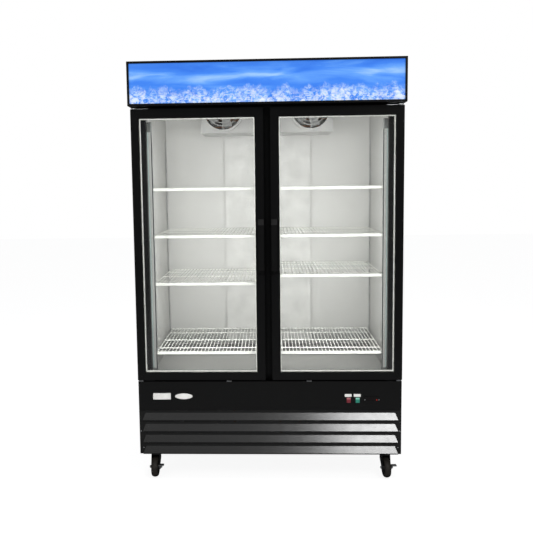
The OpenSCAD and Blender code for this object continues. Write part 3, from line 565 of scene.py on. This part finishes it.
def islands(node):
    """The box of each separate solid of a CAD node, in the order of their low corners."""
    mesh = bmesh.new()
    mesh.from_mesh(NODES[node].data)
    bmesh.ops.remove_doubles(mesh, verts=mesh.verts, dist=1e-6)
    left = set(mesh.verts)
    boxes = []
    while left:
        group, edge = [], [left.pop()]
        while edge:
            vert = edge.pop()
            group.append(vert.co.copy())
            for link in vert.link_edges:
                other = link.other_vert(vert)
                if other in left:
                    left.remove(other)
                    edge.append(other)
        boxes.append((Vector(map(min, zip(*group))), Vector(map(max, zip(*group)))))
    mesh.free()
    return sorted(boxes, key=lambda box: tuple(box[0]))


def levels(node, gap=0.1):
    """The highest point of each level of a CAD node, where the levels are more than gap apart."""
    heights = sorted({round(vert.co.z, 5) for vert in NODES[node].data.vertices})
    return [a for a, b in zip(heights, heights[1:] + [math.inf]) if b - a > gap]


def both_halves(*half):
    """A closed profile from half of it, (radius, distance from the middle) in millimetres."""
    return from_mm(*[(r, -w) for r, w in half], *reversed(half))


def screw_head(shape, centre, axis, radius, height):
    """A pan head with a cross slot, standing along axis from centre."""
    axis = Vector(axis).normalized()
    shape.lathe([(radius, 0), (radius, height * 0.35), (radius * 0.86, height * 0.75),
                 (radius * 0.5, height * 0.96), (radius * 0.44, height * 0.55),
                 (radius * 0.08, height * 0.5)], centre, axis, 24)
    turn = Matrix.Translation(centre) @ axis.to_track_quat("Z", "Y").to_matrix().to_4x4()
    wide, thin = radius * 0.5, radius * 0.085
    for size in ((wide, thin), (thin, wide)):
        shape.box((-size[0], -size[1], height * 0.4), (size[0], size[1], height * 0.62), turn)


def hex_part(shape, centre, axis, radius, start, end):
    """A nut or bolt head with its six corners turned off, from start to end along axis."""
    step = (end - start) * 0.18
    narrow = radius * 0.88
    shape.lathe([(narrow, start), (radius, start + step), (radius, end - step), (narrow, end)],
                centre, axis, 6)


SHELF_STRIP = moulded("ticket_strip_white", SHELF_WHITE, 0.32)
DIFFUSER = glowing("lamp_diffuser", (0.60, 0.60, 0.58), (0.97, 1.0, 0.96), 0.12)
# a painted glow for the outer edge of the lamp bars' channel, where no lamp is
PAINTED_EDGE_GLOW = glowing("painted_edge_glow", (0.46, 0.56, 0.55), (0.85, 1.0, 0.98), 0.14)
CAP_GREY = moulded("lamp_cap_grey", (0.30, 0.31, 0.30), 0.4)
HUB_BLACK = moulded("wheel_hub_black", (0.02, 0.02, 0.021), 0.42)
SIGHT_RED = moulded("display_window", (0.010, 0.002, 0.003), 0.1)
LAMP_RED = glowing("indicator_red", (0.5, 0.02, 0.02), (1.0, 0.05, 0.03), 1.2)


def add_shelves(side):
    """Coated wire shelves: wires turned down at the front, cross and end rods, a ticket strip."""
    node = f"shelves_{side}"
    low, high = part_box(node)
    shape = Shape(SHELF_COAT, SHELF_STRIP)
    wire, rod, spacing = 1.8 * MM, 2.4 * MM, 18.6 * MM
    lip = low.y + 4.6 * MM
    count = int((high.x - low.x - 8 * MM) / spacing)
    first = (low.x + high.x - count * spacing) / 2
    drop = 14
    strip = from_mm((0, 0), (3.4, 0), (3.4, -1.6), (2.4, -2.2), (2.4, -drop), (0, -drop),
                    (0, 2 - drop), (1.3, 2.6 - drop), (1.3, -2.4), (0, -1.8))
    for top in levels(node):
        shape.use(SHELF_COAT)
        for i in range(count + 1):
            x = first + i * spacing
            shape.tube([(x, lip, top - 15 * MM), (x, lip, top - wire), (x, high.y, top - wire)],
                       wire, 8, 3 * MM, 3)
        z = top - 2 * wire - rod + 0.2 * MM
        for back in (9, 96.5, 268.5, 442.5, 549.5):
            y = low.y + back * MM
            shape.tube([(low.x, y, z), (high.x, y, z)], rod, 10)
        for x in (low.x + rod, high.x - rod):
            shape.tube([(x, low.y + 6 * MM, z), (x, high.y - 3 * MM, z)], rod, 10)
        shape.use(SHELF_STRIP)
        shape.prism(strip, lambda u, v, w: Vector((w, low.y + u, top + v)), low.x, high.x)
    shape.piece(node.replace("shelves", "wire_shelves"), "cabinet", SLOTS[node], (node,))


def add_supports():
    """Slotted channels in the corners of each bay, with the hooked clips under the shelves."""
    low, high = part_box("shelf_supports")
    shape = Shape(SATIN_STEEL)
    pitch, slot_length = 25.4 * MM, 12 * MM
    slot_start, slot_end = 7 * MM, 13 * MM
    gauge, deep, wide = 1.2 * MM, 4 * MM, 20 * MM
    for side, s in (("left", -1), ("right", 1)):
        bay_low, bay_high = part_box(f"shelves_{side}")
        inner = min(bay_low.x, bay_high.x, key=abs)
        wall = high.x * s
        front, back = bay_low.y, bay_high.y
        # two channels on the side wall, then one behind the front frame and one on the back wall
        places = [(lambda u, v, w, y=y: Vector((wall - s * v, y + u, w))) for y in
                  (front + 82 * MM, back - 21 * MM)]
        places += [(lambda u, v, w, y=y, d=d: Vector((inner + s * u, y + d * v, w))) for y, d in
                   ((front - 14 * MM, 1), (back + 5 * MM, -1))]
        for place in places:
            for u in (0, wide - gauge):
                shape.prism(rectangle(u, 0, u + gauge, deep), place, low.z, high.z)
            for u in (gauge, slot_end):
                shape.prism(rectangle(u, deep - gauge, u + slot_start - gauge, deep),
                            place, low.z, high.z)
            z = low.z
            while z < high.z - pitch:
                shape.prism(rectangle(slot_start, deep - gauge, slot_end, deep),
                            place, z, z + pitch - slot_length)
                z += pitch
        for top in levels(f"shelves_{side}"):
            seat = top - 7.7 * MM
            for place in places[:2]:
                hook_clip(shape, place, deep, seat, 25 * MM)
            hook_clip(shape, places[3], deep, seat, 12 * MM)
            clip = places[2]
            hook_clip(shape, clip, deep, seat - 14 * MM, 16 * MM)
            shape.prism(rectangle(2 * MM, 19 * MM, 16 * MM, 22 * MM), clip, seat - 17 * MM, seat)
    shape.piece("slotted_supports", "cabinet", SLOTS["shelf_supports"], ("shelf_supports",), 0.0002)


def hook_clip(shape, place, deep, seat, reach):
    """A bent clip: a plate on the channel, and a tongue out under the shelf with its end down."""
    gauge = 2 * MM
    for v0, v1, z0, z1 in ((deep, deep + gauge, seat - 16 * MM, seat),
                           (deep, deep + reach, seat - gauge, seat),
                           (deep + reach - gauge, deep + reach, seat - 5 * MM, seat)):
        shape.prism(rectangle(2 * MM, v0, 18 * MM, v1), place, z0, z1)


def add_lamps():
    """Lamp bars: an aluminium channel, a domed diffuser, end caps, a painted glow on the outer edges and a dark
    strip of painted shade on the inner edges.
    """
    low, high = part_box("led_lights")
    shape = Shape(ALUMINIUM, DIFFUSER, CAP_GREY, PAINTED_EDGE_GLOW, GASKET)
    y = (low.y + high.y) / 2
    for s in (-1, 1):
        turn = (Matrix.Translation((s * (high.x - 13.1 * MM), y, 0))
                @ Matrix.Rotation(math.radians(15 * s), 4, "Z"))

        def place(u, v, w):
            return turn @ Vector((u, v, w))

        start, end = low.z + 12 * MM, high.z - 48 * MM
        shape.use(ALUMINIUM)
        shape.prism(rectangle(-11 * MM, 2 * MM, 11 * MM, 5 * MM), place, start, end)
        # outer edge: painted glow; inner edge: a dark strip standing for the shadow gap between lamp and wall, as
        # painted shade
        for paint, u, wide in ((PAINTED_EDGE_GLOW, 7 * s, 4 * s), (GASKET, -10 * s, 1.5 * s)):
            shape.use(paint)
            shape.prism(from_mm((u, -5.2), (u + wide, -4), (u + wide, 2), (u, 2)),
                        place, start, end)
        shape.use(DIFFUSER)
        dome = [((8.4 * math.cos(a) - 1.5 * s) * MM, (-1.2 - 3.8 * math.sin(a)) * MM)
                for a in [math.pi * k / 14 for k in range(15)]]
        shape.prism(dome + [(dome[-1][0], 2 * MM), (dome[0][0], 2 * MM)], place, start, end)
        shape.use(CAP_GREY)
        for z0, z1 in ((low.z, start), (end, high.z)):
            shape.prism(from_mm((-12, -3), (-9, -6), (9, -6), (12, -3), (12, 6), (-12, 6)),
                        place, z0, z1)
            shape.box((-9 * MM, -6.6 * MM, z0 + 3 * MM), (9 * MM, -5 * MM, z1 - 3 * MM), turn)
    shape.piece("lamp_bars", "cabinet", SLOTS["led_lights"], ("led_lights",), 0.0003)


def add_screws():
    """Cross-head screws in the grille, and hexagon bolts with washers and nuts at the casters."""
    node = "screws_and_bolts"
    shape = Shape(ZINC)
    for low, high in islands(node):
        middle = (low + high) / 2
        if high.y - low.y < 3 * MM:
            radius = (high.x - low.x) / 2
            screw_head(shape, (middle.x, high.y, middle.z), (0, -1, 0), radius, high.y - low.y)
            continue
        foot = Vector((middle.x, middle.y, low.z))
        tall = high.z - low.z
        hex_part(shape, foot, UP, 6.4 * MM, 0, 3.2 * MM)
        shape.lathe([(6.5 * MM, 3.2 * MM), (6.5 * MM, 4.4 * MM)], foot, UP, 24)
        shape.lathe([(3.9 * MM, 4 * MM), (3.9 * MM, tall)], foot, UP, 16)
        hex_part(shape, foot, UP, 6.4 * MM, tall - 5 * MM, tall - 0.6 * MM)
    shape.piece("screws_bolts_and_nuts", "cabinet", SLOTS[node], (node,))


def add_caster(corner):
    """A wheel with a crowned tread on a ribbed hub, and the nuts at the ends of its axle."""
    joint = JOINTS[f"roll_{corner}"]
    centre, axis = Vector(joint["pos_m"]), Vector(joint["axis"])
    node = f"caster_wheel_{corner}"
    shape = Shape(TYRE, HUB_BLACK)
    tread = both_halves((34.6, 15.2), (40, 16), (43.2, 15.6), (45.8, 13.6), (47.8, 10.4),
                        (49.2, 6.4), (49.9, 2.2))
    shape.lathe(tread, centre, axis, 72, True)
    shape.use(HUB_BLACK)
    hub = both_halves((5.1, 17), (12.5, 17), (14, 15), (15, 9), (28, 5.5), (32.5, 8),
                      (33, 13.6), (34.7, 13.6))
    shape.lathe(hub, centre, axis, 48, True)
    across = axis.orthogonal().normalized()
    for k in range(6):
        out = Matrix.Rotation(math.tau * k / 6, 3, axis) @ across
        spoke = Matrix((out, axis.cross(out), axis)).transposed().to_4x4()
        shape.box((13 * MM, -1.4 * MM, -11 * MM), (33 * MM, 1.4 * MM, 11 * MM),
                  Matrix.Translation(centre) @ spoke)
    shape.piece(f"rolling_wheel_{corner}", f"wheel_{corner}", SLOTS[node], (node,))
    nuts = Shape(ZINC)
    lever = 4.4 if corner in ("fl", "fr") else 0
    for s, start in ((-1, 21.2), (1, 21.2 + lever)):
        nuts.lathe([(8.4 * MM, start * MM), (8.4 * MM, (start + 1) * MM)], centre, axis * s, 24)
        hex_part(nuts, centre, axis * s, 8.2 * MM, (start + 1) * MM, (start + 6) * MM)
        nuts.lathe([(5 * MM, (start + 6) * MM), (4.6 * MM, (start + 8.4) * MM),
                    (2.8 * MM, (start + 9) * MM)], centre, axis * s, 20)
    nuts.piece(f"axle_nuts_{corner}", f"fork_{corner}", SLOTS["hinge_brackets"])


def add_door_seals(side):
    """The bellows gasket behind the door, and the thin glazing seal round its glass."""
    node = f"door_gasket_{side}"
    low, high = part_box(node)
    shape = Shape(GASKET)
    bellows = from_mm(
        (2, 0), (16, 0), (16, 1.4), (12.6, 2.4), (15.6, 4.2), (12.6, 6), (16.6, 7.4), (17.6, 8.6),
        (17.6, 11.6), (0.4, 11.6), (0.4, 8.6), (3.4, 7.2), (1, 5.4), (3.4, 3.8), (2, 1.4))
    shape.surround(low, high, bellows, low.y)
    shape.piece(f"bellows_gasket_{side}", f"door_{side}", SLOTS[node], (node,))
    pane_low, pane_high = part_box(f"door_glass_{side}")
    inset = Vector((7.8 * MM, 0, 7.8 * MM))
    seal = Shape(GASKET)
    outside = from_mm((0, -2), (0.3, -2), (0.5, -0.8), (0.5, -0.1), (0, -0.1))
    inside = from_mm((0, 0.1), (4, 0.1), (4, 1.2), (2.6, 3), (0, 3))
    for profile, start in ((outside, pane_low.y), (inside, pane_high.y)):
        seal.surround(pane_low + inset, pane_high - inset, profile, start)
    seal.piece(f"glazing_seal_{side}", f"door_{side}", SLOTS[node])


def add_coil(node, name, rows, pipe_rows, pitch):
    """A coil: thin fins between two end plates, with copper hairpins through them.

    rows are depths behind the front of the coil, pipe_rows heights above its foot.
    """
    low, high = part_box(node)
    shape = Shape(ALUMINIUM, COPPER)
    pipe, plate, half_fin = 4.6 * MM, 1.6 * MM, 0.15 * MM
    margin = 8 * MM
    x0, x1 = low.x + margin, high.x - margin
    y0, y1 = low.y, high.y
    for x in (x0, x1 - plate):
        shape.box((x, y0, low.z), (x + plate, y1, high.z))
        shape.box((x - 1 * MM, y0, low.z), (x + 3 * MM, y0 + 1.4 * MM, high.z))
    count = int((x1 - x0 - 8 * MM) / pitch)
    for i in range(1, count):
        x = x0 + 4 * MM + i * pitch
        shape.box((x - half_fin, y0 + 4 * MM, low.z + 3 * MM),
                  (x + half_fin, y1 - 4 * MM, high.z - 3 * MM))
    shape.use(COPPER)
    middle = (x0 + x1) / 2
    for back in rows:
        y = y0 + back
        for i, (a, b) in enumerate(zip(pipe_rows, pipe_rows[1:])):
            za, zb = low.z + a, low.z + b
            end = x0 - 3 * MM if i % 2 else x1 + 3 * MM
            shape.tube([(middle, y, za), (end, y, za), (end, y, zb), (middle, y, zb)],
                       pipe, 10, 6 * MM, 5)
        for z in (low.z + pipe_rows[0], low.z + pipe_rows[-1]):
            shape.tube([(low.x, y, z), (middle, y, z)], pipe, 10)
    shape.piece(name, "cabinet", SLOTS[node], (node,))


def add_pipes():
    """The compressor's discharge, liquid and suction lines, with the filter drier."""
    low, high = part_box("refrigerant_pipes")
    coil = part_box("condenser_coil")[0]
    front = coil.y + 20 * MM
    foot, head = coil.z + 28 * MM, coil.z + 253 * MM
    end = coil.x
    shell_low, shell_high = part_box("compressor")
    side = (shell_low.x + shell_high.x) / 2 + 84 * MM
    middle = shell_low.y + 88 * MM
    shape = Shape(COPPER)
    thin, thick = 4 * MM, 6 * MM
    # discharge
    z, x = low.z + 42 * MM, side + 116 * MM
    shape.tube([(side, middle, z), (x, middle, z), (x, front, z), (x, front, head),
                (end, front, head)], thin, 14, 22 * MM, 8)
    # liquid, with the drier
    x, rear = end - 92 * MM, high.y - 19.8 * MM
    shape.tube([(end, front, foot), (x, front, foot), (x, rear, foot), (x, rear, high.z)],
               thin, 14, 22 * MM, 8)
    shape.lathe(from_mm((4.4, 0), (6, 8), (14, 20), (14, 92), (6, 104), (4.4, 112)),
                (x, front + 194 * MM, foot), (0, 1, 0), 28)
    # suction
    z, x = low.z + 112 * MM, side + 176 * MM
    near, rear = middle + 30 * MM, high.y - 7.8 * MM
    shape.tube([(side, near, z), (x, near, z), (x, rear, z), (x, rear, high.z)],
               thick, 16, 26 * MM, 8)
    shape.piece("copper_lines", "cabinet", SLOTS["refrigerant_pipes"], ("refrigerant_pipes",))


def add_controller():
    """The controller's display window, its lamp and the screws in its bezel."""
    low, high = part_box("temperature_controller")
    middle = (low + high) / 2
    face = low.y + 1 * MM
    window = Shape(SIGHT_RED)
    window.box((middle.x - 21.8 * MM, face + 0.5 * MM, middle.z - 2.8 * MM),
               (middle.x + 15.8 * MM, face + 1.4 * MM, middle.z + 12.8 * MM))
    window.piece("display_window", "cabinet", SLOTS["temperature_controller"], (), 0.0002)
    lamp = Shape(LAMP_RED)
    lamp.lathe(from_mm((2.1, -0.4), (2.1, 0.5), (1.4, 1), (0.4, 1.2)),
               (middle.x + 24 * MM, face, middle.z), (0, -1, 0), 20)
    lamp.piece("display_lamp", "cabinet", SLOTS["power_rocker"])
    screws = Shape(ZINC)
    for s in (-1, 1):
        screw_head(screws, (middle.x + s * 34.5 * MM, face, middle.z), (0, -1, 0),
                   3.2 * MM, 1.5 * MM)
    screws.piece("bezel_screws", "cabinet", SLOTS["hinge_brackets"])


def add_badge_rims():
    """A thin bright rim round the two thick blank plates, of which the right one is oval."""
    shape = Shape(SATIN_STEEL)
    thick = [(low, high) for low, high in islands("badge_plates") if high.y - low.y >= 1 * MM]
    for (low, high), power in zip(thick, (0.16, 1)):
        middle = (low + high) / 2
        half = (high - low) / 2
        rings = []
        for inset, out in ((0, 0.1), (0, -0.35), (1.3, -0.35), (1.3, 0.1)):
            ring = []
            for k in range(64):
                angle = math.tau * (k + 0.5) / 64
                c, s = math.cos(angle), math.sin(angle)
                ring.append(Vector((
                    middle.x + (half.x - inset * MM) * math.copysign(abs(c) ** power, c),
                    low.y + out * MM,
                    middle.z + (half.z - inset * MM) * math.copysign(abs(s) ** power, s))))
            rings.append(ring)
        shape.loft(rings, True)
    shape.piece("badge_rims", "cabinet", SLOTS["badge_plates"])


for side in SIDES:
    add_shelves(side)
    add_door_seals(side)
for corner in CORNERS:
    add_caster(corner)
add_supports()
add_lamps()
add_screws()
add_coil("condenser_coil", "condenser_fins", (20 * MM, 54 * MM),
         [(28 + 45 * i) * MM for i in range(6)], 4.2 * MM)
add_coil("evaporator_coil", "evaporator_fins", (29 * MM, 79 * MM),
         [(41 + 38 * i) * MM for i in range(5)], 6 * MM)
add_pipes()
add_controller()
add_badge_rims()


# ------------------------------------------------------------------ stage


def seen_straight(tree):
    """1 for rays from the camera, even once they have passed through glass, and 0 for others."""
    path = tree.nodes.new("ShaderNodeLightPath").outputs
    bounces = calculate(tree, "ADD", path["Diffuse Depth"], path["Glossy Depth"])
    unbounced = calculate(tree, "LESS_THAN", bounces, 0.5)
    through = calculate(tree, "MULTIPLY", path["Is Transmission Ray"], unbounced)
    return calculate(tree, "MAXIMUM", path["Is Camera Ray"], through)


def add_floor():
    size = 30
    bpy.ops.mesh.primitive_grid_add(x_subdivisions=8, y_subdivisions=8, size=size)
    floor = bpy.context.object
    floor.name = "floor"
    paint = Paint("pale_floor", (0.80, 0.80, 0.80), 0.6, Emission_Color=(1, 1, 1, 1))
    paint.tint(paint.noise(2, 2), 0.01)
    glow = paint.math("MULTIPLY", seen_straight(paint.tree), 0.9)
    paint.link(glow, paint.shader.inputs["Emission Strength"])
    floor.data.materials.append(paint.material)


def add_light(name, place, aim, size, watts, only=()):
    """A rectangular lamp. If only is given, it lights just those pieces."""
    data = bpy.data.lights.new(name, "AREA")
    data.shape = "RECTANGLE"
    data.size, data.size_y = size
    data.energy = watts
    light = bpy.data.objects.new(name, data)
    light.location = place
    light.rotation_euler = (Vector(aim) - Vector(place)).to_track_quat("-Z", "Y").to_euler()
    light.visible_camera = False
    bpy.context.scene.collection.objects.link(light)
    if only:
        chosen = bpy.data.collections.new(f"lit_by_{name}")
        for piece in only:
            chosen.objects.link(piece)
        light.light_linking.receiver_collection = chosen
    return light


def add_world():
    world = bpy.data.worlds.new("studio")
    bpy.context.scene.world = world
    world.use_nodes = True
    tree = world.node_tree
    tree.nodes.clear()
    shown = tree.nodes.new("ShaderNodeBackground")
    shown.inputs["Color"].default_value = (1, 1, 1, 1)
    lit = tree.nodes.new("ShaderNodeBackground")
    lit.inputs["Color"].default_value = (0.97, 0.98, 1.0, 1)
    lit.inputs["Strength"].default_value = 0.1
    mix = tree.nodes.new("ShaderNodeMixShader")
    output = tree.nodes.new("ShaderNodeOutputWorld")
    tree.links.new(seen_straight(tree), mix.inputs[0])
    tree.links.new(lit.outputs[0], mix.inputs[1])
    tree.links.new(shown.outputs[0], mix.inputs[2])
    tree.links.new(mix.outputs[0], output.inputs["Surface"])


def add_camera():
    data = bpy.data.cameras.new("camera")
    data.lens = 43.8
    data.sensor_width = 36
    data.shift_x = 0.0373
    data.shift_y = -0.0377
    camera = bpy.data.objects.new("camera", data)
    camera.location = (0.0142, -3.4763, 1.4814)
    yaw, pitch, roll = 0.03725, -0.09514, 0.01286
    turn = (Matrix.Rotation(yaw, 4, "Z") @ Matrix.Rotation(pitch, 4, "X")
            @ Matrix.Rotation(roll, 4, "Y") @ Matrix.Rotation(math.pi / 2, 4, "X"))
    camera.rotation_euler = turn.to_euler()
    bpy.context.scene.collection.objects.link(camera)
    bpy.context.scene.camera = camera


add_floor()
add_world()
# the room
add_light("key", (2.0, -3.0, 3.6), (0, 0, 1.1), (1.6, 1.6), 14)
add_light("fill", (-2.6, -3.0, 2.6), (0, 0, 1.0), (1.4, 2.0), 6)
add_light("overhead", (0.0, -0.4, 4.2), (0, 0, 1.0), (2.4, 2.4), 22)
# the pieces that the photo shows brighter than the room makes them
louvres = [NODES["front_grille"]]
add_light("louvre_card", (1.65, -4.4, 1.5), (0.2, -0.35, 0.25), (1.9, 0.9), 158, louvres)
add_light("louvre_fill", (-1.1, -4.4, 1.5), (-0.2, -0.35, 0.25), (3.4, 0.9), 8, louvres)
crisp = [NODES[name] for name in ("glass_spacer_left", "glass_spacer_right", "badge_plates")]
bright = [NODES[name] for name in ("hinge_brackets", "caster_brake_fl", "caster_brake_fr")]
bright += [PIECES[name] for name in (
    "lamp_bars", "axle_nuts_fl", "axle_nuts_fr", "rolling_wheel_fl", "rolling_wheel_fr",
    "screws_bolts_and_nuts", "bezel_screws", "badge_rims")]
shelves = [PIECES["wire_shelves_left"], PIECES["wire_shelves_right"]]
add_light("accent", (0.3, -3.6, 2.2), (0, 0, 1.0), (2.0, 1.2), 50, bright)
add_light("accent_shelves", (0.3, -3.6, 1.15), (0, 0, 1.05), (2.0, 1.2), 190, shelves)
add_light("accent_crisp", (-0.3, -3.6, 1.8), (0, 0, 1.0), (2.0, 1.2), 95, crisp)
add_light("rear", (-1.4, 3.6, 2.6), (0, 0.3, 1.0), (2.2, 2.2), 90, [
    NODES[name] for name in ("outer_shell", "rear_grille", "cord_gland")])
# inside the bays, under the shelves and inside the evaporator housing
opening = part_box("front_frame")[0]
rest = [piece for piece in list(NODES.values()) + list(PIECES.values()) if piece not in shelves]
coil_low, coil_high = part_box("evaporator_coil")
coil_z = (coil_low.z + coil_high.z) / 2
for s in (-1, 1):
    bay, fan = s * 0.31, s * 0.16
    for lamp in (
            add_light(f"inside_{s}", (bay, opening.y, 1.27), (bay, 0.34, 1.27),
                      (0.46, 1.04), 5.6, rest),
            add_light(f"low_{s}", (bay, opening.y + 0.02, 0.84), (bay, 0.1, 0.56),
                      (0.5, 0.05), 2.2, shelves),
            add_light(f"unit_{s}", (fan, coil_low.y - 0.05, coil_z), (fan, coil_high.y, coil_z),
                      (0.3, 0.2), 0.9)):
        lamp.visible_glossy = False
add_camera()
bpy.context.scene.view_settings.view_transform = "Standard"
